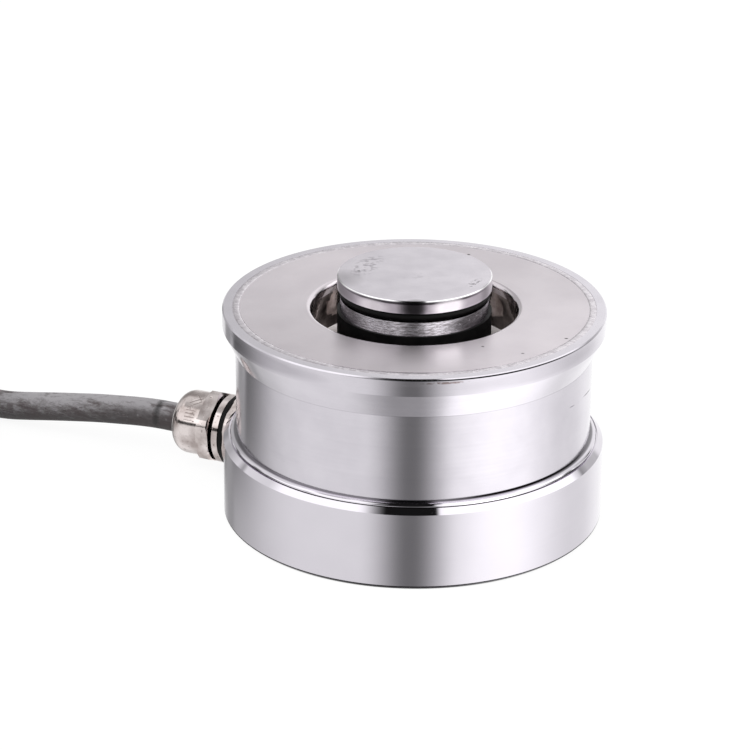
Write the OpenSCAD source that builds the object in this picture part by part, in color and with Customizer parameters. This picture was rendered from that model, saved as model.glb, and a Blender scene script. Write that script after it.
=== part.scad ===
/* [Outer body] */
// Diameter of the waist
waist_d = 70; // [68:0.5:84]
// How far the top rim stands out from the waist
rim_out = 2.5; // [1.5:0.1:5]
// Height of the straight edge of the top rim
rim_edge_h = 3.2; // [2.6:0.1:6]
// Height of the cone between the rim and the waist
cone_h = 5.1; // [3:0.1:9]
// Height of the body from the floor to the top face
body_h = 43.1; // [42:0.1:52]
// Wall of the outer sleeve at the waist
sleeve_wall = 1.6; // [1.3:0.1:2]
// Bevel on the upper edge of the rim
rim_bevel = 0.25; // [0.1:0.05:0.6]

/* [Base ring] */
// How far the base ring stands out from the waist
base_out = 2.6; // [2:0.1:4]
// Height of the base ring's outer wall
base_edge_h = 15.5; // [15.2:0.1:18]
// Bevel on the upper edge of the base ring
base_bevel = 1.05; // [0.6:0.05:1.4]
// Bevel on the lower edge of the base ring
foot_bevel = 0.5; // [0.2:0.1:1.2]
// Width of the turned groove behind the bevel
base_groove_w = 0.3; // [0.15:0.05:0.4]
// Depth of the turned groove behind the bevel
base_groove_depth = 0.35; // [0.1:0.05:0.5]
// Height of the rounded bead around the waist
bead_h = 0.8; // [0.5:0.05:1.2]
// Inner diameter of the base ring
base_bore_d = 54; // [50:0.5:56]
// Height of the ledge that carries the spring body
ledge_h = 15.6; // [15.2:0.1:16.4]

/* [Bottom cover] */
// Diameter of the bottom cover
bottom_cover_d = 59.8; // [58:0.2:64]
// Thickness of the bottom cover
bottom_cover_t = 1.2; // [0.8:0.1:1.4]
// Depth of the bottom cover's face behind the foot
bottom_recess = 0.4; // [0.2:0.1:0.5]

/* [Top cover] */
// Thickness of the top cover
cover_t = 2; // [1.4:0.1:2.4]
// Width of the weld groove between the cover and the rim
weld_w = 1.4; // [0.8:0.1:2]
// Depth of the weld groove
weld_depth = 0.4; // [0.2:0.05:0.8]
// Radius of the rounded lip of the bore
lip_r = 0.95; // [0.5:0.05:1.3]

/* [Bore] */
// Diameter of the bore around the load button
bore_d = 40.3; // [38:0.1:42]
// Wall of the bore sleeve
bore_wall = 1.2; // [0.8:0.1:1.5]
// Depth of the gap around the load button
gap_depth = 9.2; // [8.6:0.1:11]

/* [Spring body] */
// Width of the support ring on the ledge
support_w = 2.1; // [1.8:0.1:2.4]
// Height of the support ring
support_h = 6.4; // [5.5:0.1:8]
// Length of the outer web
outer_web_l = 1.2; // [0.8:0.1:1.5]
// Thickness of the outer web
outer_web_t = 3; // [2:0.1:4]
// Width of the torsion ring
torsion_w = 6; // [5:0.1:6.5]
// Height of the torsion ring's lower face above the ledge
torsion_lift = 1.8; // [1:0.1:3]
// Thickness of the inner web
inner_web_t = 3.4; // [2.5:0.1:4.5]
// Width of the hub's edge outside the bore sleeve
hub_edge = 0.25; // [0.1:0.05:0.5]
// Thickness of the hub at its edge
hub_edge_t = 4.9; // [4.6:0.1:6]
// Diameter of the hub's core
hub_core_d = 26; // [20:0.5:30]
// Depth of the hub's core
hub_core_h = 14.9; // [10:0.1:16]
// Diameter of the pocket for the thrust disc
pocket_d = 13.6; // [10:0.1:16]
// Depth of the pocket
pocket_depth = 4; // [3:0.1:6]
// Width of each strain gauge foil
foil_w = 4; // [3:0.1:4.5]
// Thickness of a strain gauge foil with its cover
foil_t = 0.4; // [0.2:0.05:0.6]

/* [Load button] */
// Diameter of the button's flange
button_d = 30.2; // [28:0.1:32]
// Height of the button above the top face
button_rise = 6.6; // [6:0.1:8]
// Height of the flange
flange_h = 2.55; // [2:0.05:3]
// Bevel on the flange's upper edge
flange_bevel = 0.25; // [0.1:0.05:0.4]
// Height of the O-ring groove
oring_groove_h = 2; // [1.8:0.05:2.2]
// Depth of the O-ring groove below the flange
oring_groove_depth = 2.1; // [1.8:0.05:2.4]
// Thickness of the O-ring
oring_t = 1.7; // [1.4:0.05:1.8]
// Height of the turned band below the groove
band_h = 2.75; // [2:0.05:3.2]
// Depth of the turned band below the flange
band_inset = 0.55; // [0.3:0.05:0.8]
// Wall of the rubber sleeve on the shank
rubber_wall = 2.5; // [1.5:0.1:3.5]
// Height left free between the button and the hub
button_lift = 0.4; // [0.3:0.05:0.8]
// Thickness of the thrust disc
thrust_disc_t = 1.5; // [1:0.1:2]

/* [Gland] */
// Direction of the gland around the body
gland_azimuth = 154; // [0:1:359]
// Height of the gland's axis
gland_z = 8.5; // [8.2:0.1:8.8]
// Depth of the flat milled for the gland
spot_depth = 0.6; // [0.4:0.05:1]
// Distance across the flats of both hexes
hex_af = 14; // [13.4:0.1:14.6]
// Diameter that rounds the hex corners
hex_corner_d = 15.4; // [15:0.1:16]
// Diameter of the thread in the base ring
thread_d = 12; // [11:0.1:12.4]
// Thickness of the adapter's hex
adapter_hex_t = 2.6; // [2:0.1:4]
// Diameter of the sealing ring
gasket_d = 14.6; // [14:0.1:15.2]
// Thickness of the sealing ring
gasket_t = 0.8; // [0.5:0.1:1.2]
// Diameter of the gland's collar
collar_d = 14.2; // [13:0.1:15]
// Thickness of the gland's collar
collar_t = 1.9; // [1.4:0.1:3]
// Bevel on both edges of the collar
collar_bevel = 0.3; // [0.1:0.05:0.5]
// Diameter of the gland's inner thread
inner_thread_d = 9.2; // [8.8:0.1:9.8]
// Diameter of the neck under the cap nut
neck_d = 11.2; // [10.8:0.1:11.6]
// Gap between the collar and the cap nut
cap_gap = 0.6; // [0.3:0.1:1.2]
// Length of the cap nut's hex
cap_hex_l = 2.8; // [2.2:0.1:4]
// Length of the cap nut's dome
dome_l = 6.8; // [5.8:0.1:9]
// Diameter of the cap nut's dome
dome_d = 13.2; // [12.8:0.1:13.4]
// Length of the dome's rounded end
dome_round_l = 2.8; // [2:0.1:3.4]
// Diameter of the dome's flat mouth
mouth_d = 8; // [7:0.1:8.6]
// Number of fingers of the clamping claw
claw_count = 8; // [6:1:10]
// Width of the slots between the fingers
claw_slot_w = 0.7; // [0.4:0.1:0.9]
// Bevel on the hex corners
hex_bevel = 0.6; // [0.3:0.05:0.9]
// Turn of the adapter's hex around its axis
adapter_turn = 5; // [-30:1:30]
// Turn of the cap nut's hex around its axis
cap_turn = -5; // [-30:1:30]

/* [Cable] */
// Diameter of the cable
cable_d = 6; // [5:0.1:6.2]
// Length of cable inside the body behind the gland
inner_cable_l = 8; // [6:0.5:10]
// Diameter of one core
core_d = 1.25; // [1:0.05:1.25]
// Length of the bare cores at the cable's end
core_l = 26; // [15:1:40]
// Diameter of a ferrule
ferrule_d = 1.6; // [1.5:0.05:1.8]
// Length of a ferrule
ferrule_l = 7; // [5:0.5:10]
// Length of the shrunk sleeve at the cable's end
end_sleeve_l = 14; // [8:1:20]
// Wall of the shrunk sleeve
end_sleeve_wall = 0.3; // [0.2:0.05:0.5]
// Radius of the innermost turn of the coil
coil_inner_r = 24; // [22:0.5:30]
// Width of a coil tie
tie_w = 3.6; // [2.5:0.1:5]
// Thickness of a coil tie
tie_t = 0.8; // [0.6:0.05:1]

/* [Terminal board] */
// Length of the terminal board
board_l = 26; // [22:0.5:30]
// Width of the terminal board
board_w = 16; // [12:0.5:20]
// Thickness of the terminal board
board_t = 1.6; // [1:0.1:2]
// Height of the spacers below the board
spacer_h = 2.2; // [1.5:0.1:2.6]
// Diameter of a spacer
spacer_d = 4; // [3:0.1:5]
// Diameter of a trim resistor
resistor_d = 2.2; // [1.5:0.1:2.6]
// Length of a trim resistor
resistor_l = 6; // [4:0.1:8]
// Diameter of an inner lead
lead_d = 0.9; // [0.6:0.05:1]

/* [Hidden] */
$fn = 96;

// Overrun of every cut, clearance of parts that slide into one another
over = 1;
slip = 0.05;

// Radii and levels of the body, from the floor up
waist_r = waist_d / 2;
rim_r = waist_r + rim_out;
base_r = waist_r + base_out;
sleeve_r = waist_r - sleeve_wall;
base_bore_r = base_bore_d / 2;
bevel_top_z = base_edge_h + base_bevel;
seat_z = bevel_top_z + bead_h;
bevel_in_r = base_r - base_bevel;
bead_r = bevel_in_r - base_groove_w;
bead_w = bead_r - waist_r;
rim_z = body_h - rim_edge_h - rim_bevel;
cone_z = rim_z - cone_h;
cover_z = body_h - cover_t;
cover_r = rim_r - 1.06 * rim_out;
weld_z = body_h - weld_depth;
bore_r = bore_d / 2;
bore_sleeve_r = bore_r + bore_wall;
hub_z = body_h - gap_depth;

// Radii and levels of the spring body
spring_r = sleeve_r - 2 * slip;
support_in_r = spring_r - support_w;
torsion_out_r = support_in_r - outer_web_l;
torsion_in_r = torsion_out_r - torsion_w;
torsion_z = ledge_h + torsion_lift;
hub_r = bore_sleeve_r + hub_edge;
pocket_r = pocket_d / 2;
pocket_z = hub_z - pocket_depth;
foil_mid_r = (torsion_out_r + torsion_in_r) / 2;

// Radii and levels of the load button
button_r = button_d / 2;
button_z = body_h + button_rise;
flange_z = button_z - flange_h;
band_z = flange_z - oring_groove_h;
shank_z = band_z - band_h;
band_r = button_r - band_inset;
groove_r = button_r - oring_groove_depth;
shank_r = button_r - rubber_wall;
oring_r = groove_r + oring_t / 2;
spigot_r = pocket_r - 4 * slip;
thrust_z = pocket_z + thrust_disc_t;
shank_foot_z = hub_z + button_lift;

// Places along the gland's axis, measured from the axis of the body
spot_s = base_r - spot_depth;
gasket_s = spot_s + adapter_hex_t;
collar_s = gasket_s + gasket_t;
collar_end_s = collar_s + collar_t;
cap_s = collar_end_s + cap_gap;
dome_s = cap_s + cap_hex_l;
mouth_s = dome_s + dome_l;
thread_r = thread_d / 2;
inner_thread_r = inner_thread_d / 2;
neck_r = neck_d / 2;
cable_r = cable_d / 2;
cable_hole_r = cable_r + 5 * slip;
neck_end_s = mouth_s - dome_round_l - 0.4 * cable_r;
claw_s = collar_end_s + 0.7 * cable_r;
claw_wall = (inner_thread_r - cable_r) / 2;
claw_r = inner_thread_r;
bush_r = claw_r - claw_wall;
claw_end_s = mouth_s - 0.75 * dome_round_l;
inner_cable_s = base_bore_r - inner_cable_l / 2;

// Levels below the spring body
bottom_cover_z = bottom_recess + bottom_cover_t;
board_z = bottom_cover_z + spacer_h;
board_top_z = board_z + board_t;
lead_step = 1.5 * lead_d;
lead_land_s = 0.36 * board_l;

// The coil of the cable: four columns of turns, three full layers and a part layer on top
coil_columns = 4;
coil_layers = 3;
coil_outer_r = coil_inner_r + (coil_columns - 1) * cable_d;
coil_foot_z = tie_t;
coil_first_z = coil_foot_z + cable_r;
coil_top_z = coil_first_z + coil_layers * cable_d;
// Share of the cable's radius by which an outer turn beds into the coil
bed_share = 0.027;
run_in_r = coil_outer_r + cable_d - bed_share * cable_r;
run_out_r = coil_inner_r + 2 * cable_d + slip;
run_out_z = coil_top_z - bed_share * cable_r;
run_in_angle = 60;
run_out_angle = 150;
coil_s = 130;
coil_from_angle = -90;
run_out_end_angle = 208;
// Angle of each tie, and by how many cable diameters it reaches over turns outside the coil
ties = [[65, 0], [180, 0], [300, 1]];

// Route of the free lead in the plane of the gland's axis: distance from the body, height
lead_route = [[55, 8.55], [58, 8.5], [62, 8.23], [67, 7.67], [73, 6.9], [79, 5.95], [85, 4.93],
    [90, 4.05], [95, 3.3], [100, 3.06], [107, 3.05], [114, 3.25], [122, 3.6]];
// Route of the tail around the coil's axis: distance, angle from the coil's last turn, height
tail_route = [[37, 12, 22], [40, 28, 22.3], [44.5, 46, 22.3], [47.8, 64, 20], [48.9, 82, 16.5],
    [48.9, 100, 13.2], [48.9, 118, 10.4], [48.9, 134, 8], [48.9, 150, 5.8], [48.9, 164, 4.2],
    [48.9, 172, 3.6]];
tail_end_l = 10;
tail_end_z = cable_r + end_sleeve_wall + 2 * slip;
// Directions of the cores at the cable's end, sideways and down, in degrees
core_turns = [-16, -8, 0, 8, 16];
core_drop = 4.2;

function arc(c, r, from, to, n) =
    [for (i = [0 : n]) let (a = from + (to - from) * i / n) [c[0] + r[0] * cos(a), c[1] + r[1] * sin(a)]];
function unit(v) = v / norm(v);
function polar(r, a, z) = [r * cos(a), r * sin(a), z];

module at_gland() {
    translate([0, 0, gland_z]) rotate([0, 0, gland_azimuth]) rotate([0, 90, 0]) children();
}

module at_coil() {
    rotate([0, 0, gland_azimuth]) translate([coil_s, run_in_r, 0]) children();
}

// A tube with twelve sides along points, square to the given directions at its two ends
module swept_tube(points, first, last, r) {
    sides = 12;
    n = len(points);
    way = [for (i = [0 : n - 1]) i == 0 ? unit(first) : i == n - 1 ? unit(last)
        : unit(unit(points[i + 1] - points[i]) + unit(points[i] - points[i - 1]))];
    rings = [for (i = [0 : n - 1])
        let (side = unit(cross([0, 0, 1], way[i])), up = cross(way[i], side))
        for (k = [0 : sides - 1]) let (a = 360 * (k + 0.5) / sides)
            points[i] + r * (cos(a) * side + sin(a) * up)];
    walls = [for (i = [0 : n - 2]) for (k = [0 : sides - 1])
        let (a = i * sides + k, b = i * sides + (k + 1) % sides)
        for (f = [[a, b + sides, b], [a, a + sides, b + sides]]) f];
    start = [for (k = [0 : sides - 1]) k];
    end = [for (k = [sides - 1 : -1 : 0]) (n - 1) * sides + k];
    polyhedron(points = rings, faces = concat([start], walls, [end]), convexity = 4);
}

module base_ring() {
    color("silver") difference() {
        rotate_extrude() polygon(concat(
            [[base_bore_r, bottom_cover_z], [bottom_cover_d / 2 + 2 * slip, bottom_cover_z],
            [bottom_cover_d / 2 + 2 * slip, 0], [base_r - foot_bevel, 0], [base_r, foot_bevel],
            [base_r, base_edge_h], [bevel_in_r, bevel_top_z],
            [bevel_in_r, bevel_top_z - base_groove_depth], [bead_r, bevel_top_z - base_groove_depth]],
            arc([waist_r + slip, bevel_top_z], [bead_w - slip, bead_h], 0, 90, 8),
            [[sleeve_r, seat_z], [sleeve_r, ledge_h], [base_bore_r, ledge_h]]));
        at_gland() translate([0, 0, spot_s]) cylinder(h = base_out + over, d = hex_corner_d + over);
        at_gland() translate([0, 0, base_bore_r - over - base_out]) cylinder(h = spot_s, r = thread_r);
    }
}

module outer_sleeve() {
    color("silver") rotate_extrude() polygon([
        [sleeve_r, seat_z], [waist_r, seat_z], [waist_r, cone_z], [rim_r, rim_z],
        [rim_r, body_h - rim_bevel], [rim_r - rim_bevel, body_h], [cover_r + weld_w / 2, body_h],
        [cover_r + weld_w / 2, weld_z], [cover_r, weld_z], [cover_r, cover_z], [sleeve_r, cover_z]]);
}

module top_cover() {
    color("lightgray") rotate_extrude() polygon(concat(
        [[bore_r, cover_z], [cover_r, cover_z], [cover_r, weld_z], [cover_r - weld_w / 2, weld_z],
        [cover_r - weld_w / 2, body_h]],
        arc([bore_r + lip_r, body_h - lip_r], [lip_r, lip_r], 90, 180, 8)));
}

module top_weld() {
    color("darkgray") rotate_extrude() polygon(concat(
        [[cover_r + weld_w / 2, weld_z]],
        arc([cover_r, body_h - weld_depth / 2], [weld_w / 2, weld_depth / 3], 0, 180, 10),
        [[cover_r - weld_w / 2, weld_z]]));
}

module bore_sleeve() {
    color("gainsboro") translate([0, 0, hub_z]) difference() {
        cylinder(h = cover_z - hub_z, r = bore_sleeve_r);
        translate([0, 0, -over]) cylinder(h = cover_z - hub_z + 2 * over, r = bore_r);
    }
}

module spring_body() {
    color("slategray") rotate_extrude() polygon([
        [0, hub_z - hub_core_h], [hub_core_d / 2, hub_z - hub_core_h],
        [hub_core_d / 2, hub_z - hub_edge_t - (hub_r - hub_core_d / 2) / 2],
        [hub_r, hub_z - hub_edge_t], [hub_r, hub_z - inner_web_t], [torsion_in_r, hub_z - inner_web_t],
        [torsion_in_r, torsion_z], [spring_r - support_w / 2, torsion_z],
        [spring_r - support_w, torsion_z], [spring_r - support_w, ledge_h], [spring_r, ledge_h],
        [spring_r, ledge_h + support_h], [support_in_r, ledge_h + support_h],
        [support_in_r, torsion_z + outer_web_t], [torsion_out_r, torsion_z + outer_web_t],
        [torsion_out_r, hub_z], [pocket_r, hub_z], [pocket_r, pocket_z], [0, pocket_z]]);
}

module bottom_cover() {
    color("lightgray") translate([0, 0, bottom_recess]) cylinder(h = bottom_cover_t, d = bottom_cover_d);
}

module thrust_disc() {
    color("dimgray") translate([0, 0, pocket_z]) cylinder(h = thrust_disc_t, r = pocket_r - 2 * slip);
}

module load_button() {
    color("whitesmoke") rotate_extrude() polygon([
        [0, thrust_z], [spigot_r, thrust_z], [spigot_r, shank_foot_z], [shank_r, shank_foot_z],
        [shank_r, shank_z], [band_r, shank_z], [band_r, band_z], [groove_r, band_z],
        [groove_r, flange_z], [button_r, flange_z], [button_r, button_z - flange_bevel],
        [button_r - flange_bevel, button_z], [0, button_z]]);
}

module button_oring() {
    color("black") translate([0, 0, (flange_z + band_z) / 2]) rotate_extrude()
        translate([oring_r, 0]) circle(d = oring_t, $fn = 32);
}

module button_rubber() {
    color("black") translate([0, 0, shank_foot_z]) difference() {
        cylinder(h = shank_z - shank_foot_z, r = button_r);
        translate([0, 0, -over]) cylinder(h = shank_z - shank_foot_z + 2 * over, r = shank_r);
    }
}

module gauge_foil() {
    color("darkorange") difference() {
        cylinder(h = foil_t, r = foil_mid_r + foil_w / 2);
        translate([0, 0, -over]) cylinder(h = foil_t + 2 * over, r = foil_mid_r - foil_w / 2);
    }
}

module gauge_foil_upper() {
    translate([0, 0, hub_z]) gauge_foil();
}

module gauge_foil_lower() {
    translate([0, 0, torsion_z - foil_t]) gauge_foil();
}

module on_board() {
    rotate([0, 0, gland_azimuth]) children();
}

module terminal_board() {
    color("darkgreen") on_board() translate([-board_l / 2, -board_w / 2, board_z])
        cube([board_l, board_w, board_t]);
}

module board_spacers() {
    color("white") on_board() for (x = [-1, 1], y = [-1, 1])
        translate([x * (board_l - spacer_d) / 2, y * (board_w - spacer_d) / 2, bottom_cover_z])
            cylinder(h = spacer_h, d = spacer_d);
}

module trim_resistors() {
    color("tan") on_board() for (i = [-1, 0, 1])
        translate([-board_l / 4, i * 1.7 * resistor_d, board_top_z + resistor_d / 2])
            rotate([0, 90, 0]) cylinder(h = resistor_l, d = resistor_d, center = true);
}

module inner_leads() {
    color("goldenrod") on_board() for (i = [-1.5 : 1 : 1.5]) translate([0, i * lead_step, 0]) {
        translate([lead_land_s, 0, gland_z]) rotate([0, 90, 0])
            cylinder(h = inner_cable_s - lead_land_s, d = lead_d);
        translate([lead_land_s, 0, gland_z]) sphere(d = lead_d);
        translate([lead_land_s, 0, board_top_z]) cylinder(h = gland_z - board_top_z, d = lead_d);
    }
}

// Hex along the axis with turned corners, bevelled by the given amounts at its two ends
module turned_hex(h, low_bevel, high_bevel, turn) {
    corner_r = hex_corner_d / 2;
    intersection() {
        rotate([0, 0, turn]) cylinder(h = h, d = hex_af / cos(30), $fn = 6);
        rotate_extrude() polygon([[0, 0], [corner_r - low_bevel, 0], [corner_r, low_bevel / 2],
            [corner_r, h - high_bevel / 2], [corner_r - high_bevel, h], [0, h]]);
    }
}

module gland_adapter() {
    color("burlywood") at_gland() difference() {
        union() {
            translate([0, 0, spot_s]) turned_hex(adapter_hex_t, 0, hex_bevel, adapter_turn);
            translate([0, 0, base_bore_r]) cylinder(h = spot_s - base_bore_r, r = thread_r - slip);
        }
        translate([0, 0, base_bore_r - over])
            cylinder(h = gasket_s - base_bore_r + 2 * over, r = inner_thread_r);
    }
}

module gland_gasket() {
    color("black") at_gland() translate([0, 0, gasket_s]) difference() {
        cylinder(h = gasket_t, d = gasket_d);
        translate([0, 0, -over]) cylinder(h = gasket_t + 2 * over, r = inner_thread_r);
    }
}

module gland_body() {
    stem_s = base_bore_r + 2 * cable_d / 3;
    color("burlywood") at_gland() rotate_extrude() polygon([
        [cable_hole_r, stem_s], [inner_thread_r - slip, stem_s], [inner_thread_r - slip, collar_s],
        [collar_d / 2 - collar_bevel, collar_s], [collar_d / 2, collar_s + collar_bevel],
        [collar_d / 2, collar_end_s - collar_bevel], [collar_d / 2 - collar_bevel, collar_end_s],
        [neck_r - slip, collar_end_s], [neck_r - slip, neck_end_s],
        [claw_r + slip, neck_end_s], [claw_r + slip, claw_s], [cable_hole_r, claw_s]]);
}

module gland_claw() {
    finger_l = (claw_end_s - claw_s) * 2 / 3;
    color("white") at_gland() difference() {
        translate([0, 0, claw_s]) cylinder(h = claw_end_s - claw_s, r = claw_r);
        translate([0, 0, claw_s - over]) cylinder(h = claw_end_s - claw_s + 2 * over, r = bush_r + slip);
        for (i = [0 : claw_count - 1]) rotate([0, 0, 360 * i / claw_count])
            translate([0, -claw_slot_w / 2, claw_end_s - finger_l])
                cube([claw_r + over, claw_slot_w, finger_l + over]);
    }
}

module gland_bush() {
    color("dimgray") at_gland() translate([0, 0, claw_s]) difference() {
        cylinder(h = claw_end_s - claw_s, r = bush_r);
        translate([0, 0, -over]) cylinder(h = claw_end_s - claw_s + 2 * over, r = cable_r + slip);
    }
}

module gland_cap() {
    round_s = mouth_s - dome_round_l;
    roof_s = claw_end_s + 2 * slip;
    color("burlywood") at_gland() difference() {
        union() {
            translate([0, 0, cap_s]) turned_hex(cap_hex_l, hex_bevel, hex_bevel, cap_turn);
            rotate_extrude() polygon(concat([[0, dome_s - over], [dome_d / 2, dome_s - over]],
                arc([mouth_d / 2, round_s], [(dome_d - mouth_d) / 2, dome_round_l], 0, 90, 10),
                [[0, mouth_s]]));
        }
        rotate_extrude() polygon([[0, cap_s - over], [neck_r, cap_s - over],
            [neck_r, neck_end_s + slip], [claw_r + 2 * slip, neck_end_s + 4 * slip],
            [claw_r + 2 * slip, roof_s], [cable_hole_r, roof_s], [cable_hole_r, mouth_s + over],
            [0, mouth_s + over]]);
    }
}

module cable_inner() {
    color("gray") at_gland() translate([0, 0, inner_cable_s])
        cylinder(h = mouth_s - inner_cable_s, r = cable_r);
}

module cable_lead() {
    bends = [for (p = lead_route) [p[0], 0, p[1]]];
    color("gray") rotate([0, 0, gland_azimuth]) swept_tube(
        concat([[mouth_s, 0, gland_z]], bends, [[coil_s, 0, coil_first_z]]),
        [1, 0, 0], [1, 0, 0], cable_r);
}

module coil_section() {
    top_in = coil_inner_r + cable_d;
    layer_top_z = coil_top_z - cable_r;
    polygon(concat(
        arc([coil_inner_r, coil_first_z], [cable_r, cable_r], 270, 180, 6),
        arc([coil_inner_r, coil_top_z - cable_d], [cable_r, cable_r], 180, 90, 6),
        [[top_in - cable_r * cos(30), layer_top_z]],
        arc([top_in, coil_top_z - bed_share * cable_r], [cable_r, cable_r], 210, -30, 12),
        [[top_in + cable_r * cos(30), layer_top_z]],
        arc([coil_outer_r, coil_top_z - cable_d], [cable_r, cable_r], 90, 0, 6),
        arc([coil_outer_r, coil_first_z], [cable_r, cable_r], 0, -90, 6)));
}

module cable_coil() {
    color("gray") at_coil() {
        rotate_extrude() coil_section();
        rotate([0, 0, coil_from_angle]) rotate_extrude(angle = run_in_angle)
            translate([run_in_r, coil_first_z]) circle(r = cable_r, $fn = 32);
        rotate([0, 0, run_out_end_angle - run_out_angle]) rotate_extrude(angle = run_out_angle)
            translate([run_out_r, run_out_z]) circle(r = cable_r, $fn = 32);
    }
}

// A tie is a flat strap around the coil's section, also over turns that lie outside it
module coil_tie(reach) {
    in_r = coil_inner_r - cable_r - 2 * slip;
    out_r = coil_outer_r + cable_r + reach * (cable_d + 6 * slip) + 2 * slip;
    mid_z = coil_top_z - cable_r + slip;
    top_z = coil_top_z + cable_r + slip;
    top_in = coil_inner_r + cable_r - slip;
    top_out = run_out_r + cable_r + 2 * slip;
    inner = [[in_r, coil_foot_z], [in_r, mid_z], [top_in, top_z], [top_out, top_z], [out_r, mid_z],
        [out_r, coil_foot_z]];
    outer = [[in_r - tie_t, 0], [in_r - tie_t, mid_z + tie_t / 2], [top_in - tie_t / 2, top_z + tie_t],
        [top_out + tie_t / 2, top_z + tie_t], [out_r + tie_t, mid_z + tie_t / 2], [out_r + tie_t, 0]];
    rotate([90, 0, 0]) linear_extrude(height = tie_w, center = true) difference() {
        polygon(outer);
        polygon(inner);
    }
}

module coil_ties() {
    color("black") at_coil() for (t = ties) rotate([0, 0, t[0]]) coil_tie(t[1]);
}

function tail_point(p) = polar(p[0], run_out_end_angle + p[1], p[2]);
tail_last = tail_route[len(tail_route) - 1];
tail_end_angle = run_out_end_angle + tail_last[1] + 90;
tail_end_way = polar(1, tail_end_angle, 0);
tail_foot = tail_point(tail_last) + tail_end_l * tail_end_way;
tail_end = [tail_foot[0], tail_foot[1], tail_end_z];

module cable_tail() {
    color("gray") at_coil() swept_tube(
        concat([polar(run_out_r, run_out_end_angle, run_out_z)],
            [for (p = tail_route) tail_point(p)], [tail_end]),
        polar(1, run_out_end_angle + 90, 0), tail_end_way, cable_r);
}

// The frame at the cut end of the cable: x runs on along the cable
module at_cable_end() {
    at_coil() translate(tail_end) rotate([0, 0, tail_end_angle]) children();
}

module end_sleeve() {
    color("black") at_cable_end() rotate([0, 90, 0])
        cylinder(h = end_sleeve_l, r = cable_r + end_sleeve_wall);
}

module at_core(i) {
    at_cable_end() translate([end_sleeve_l, (i - 2) * (core_d + slip), 0])
        rotate([0, core_drop, core_turns[i]]) rotate([0, 90, 0]) children();
}

module core(i) {
    intersection() {
        at_core(i) translate([0, 0, -over]) cylinder(h = core_l + over, d = core_d);
        at_cable_end() translate([end_sleeve_l, -coil_outer_r, -coil_outer_r])
            cube(2 * coil_outer_r);
    }
}

module core_red() {
    color("red") core(0);
}

module core_black() {
    color("black") core(1);
}

module core_green() {
    color("green") core(2);
}

module core_white() {
    color("white") core(3);
}

module drain_wire() {
    color("gold") core(4);
}

module ferrules() {
    color("silver") for (i = [0 : 4]) at_core(i) translate([0, 0, core_l])
        cylinder(h = ferrule_l, d = ferrule_d);
}

base_ring();
outer_sleeve();
top_cover();
top_weld();
bore_sleeve();
spring_body();
bottom_cover();
thrust_disc();
load_button();
button_oring();
button_rubber();
gauge_foil_upper();
gauge_foil_lower();
terminal_board();
board_spacers();
trim_resistors();
inner_leads();
gland_adapter();
gland_gasket();
gland_body();
gland_claw();
gland_bush();
gland_cap();
cable_inner();
cable_lead();
cable_coil();
coil_ties();
cable_tail();
end_sleeve();
core_red();
core_black();
core_green();
core_white();
drain_wire();
ferrules();
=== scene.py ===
import math

import bmesh
import bpy
from mathutils import Matrix, Vector, noise


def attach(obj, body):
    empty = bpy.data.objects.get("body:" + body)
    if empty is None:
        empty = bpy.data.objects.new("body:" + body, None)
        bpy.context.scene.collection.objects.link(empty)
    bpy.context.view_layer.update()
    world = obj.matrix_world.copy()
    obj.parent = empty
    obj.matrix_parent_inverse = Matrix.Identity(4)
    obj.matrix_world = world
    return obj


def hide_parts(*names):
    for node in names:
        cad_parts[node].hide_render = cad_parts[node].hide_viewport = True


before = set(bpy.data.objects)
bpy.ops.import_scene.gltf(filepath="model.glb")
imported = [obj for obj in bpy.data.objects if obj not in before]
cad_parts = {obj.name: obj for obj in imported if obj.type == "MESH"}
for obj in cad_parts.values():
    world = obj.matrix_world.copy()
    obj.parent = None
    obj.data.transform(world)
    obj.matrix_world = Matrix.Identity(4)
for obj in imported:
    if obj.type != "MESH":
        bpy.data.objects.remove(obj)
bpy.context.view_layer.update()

mm = 0.001
glandAzimuth = 154  # degrees, from +X
glandHeight = 8.5  # mm
sharpAngle = 0.6  # radians between two faces, from which their edge stays sharp
asColor = {"out": 2, "data_type": "RGBA"}  # for a mix of two colours
scene = bpy.context.scene
scene.view_settings.view_transform = "Standard"


def linear(hexText):
    # sRGB hex to the linear colour that a socket takes
    parts = [int(hexText[i:i + 2], 16) / 255 for i in (1, 3, 5)]
    return tuple(c / 12.92 if c < 0.04045 else ((c + 0.055) / 1.055) ** 2.4 for c in parts) + (1.0,)


def addNode(tree, kind, inputs=None, out=0, stops=None, **settings):
    # one node with its settings and links; gives back the output asked for
    made = tree.nodes.new("ShaderNode" + kind)
    for name, value in settings.items():
        setattr(made, name, value)
    for name, value in (inputs or {}).items():
        if isinstance(value, bpy.types.NodeSocket):
            tree.links.new(value, made.inputs[name])
        else:
            made.inputs[name].default_value = value
    for i, (place, color) in enumerate(stops or []):
        ramp = made.color_ramp.elements
        point = ramp[i] if i < 2 else ramp.new(place)
        point.position, point.color = place, color
    return made.outputs[out] if made.outputs else made


def between(low, high):
    # the middle and half width that a compare node takes, from two ends in mm
    return {1: (low + high) / 2 * mm, 2: (high - low) / 2 * mm}


def newMaterial(name):
    material = bpy.data.materials.new(name)
    material.use_nodes = True
    material.node_tree.nodes.clear()
    return material, material.node_tree, addNode(material.node_tree, "TexCoord", out="Object")


def addPiece(name, mesh, slot, material, *replaced):
    # a mesh becomes a piece that rides on the body, in place of its CAD nodes
    mesh.polygons.foreach_set("use_smooth", [True] * len(mesh.polygons))
    mesh.materials.append(material)
    piece = bpy.data.objects.new(name, mesh)
    scene.collection.objects.link(piece)
    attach(piece, "root")
    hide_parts(*replaced)
    return piece


# the camera stands where the photograph's ellipses put it
view = {
    "place": (-0.0075, -0.55439, 0.26092),
    "tilt": 67.2245,
    "roll": 0.3976,
    "lens": 146.527,
    "shift": (-0.00067, 0.00067),
}

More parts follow.
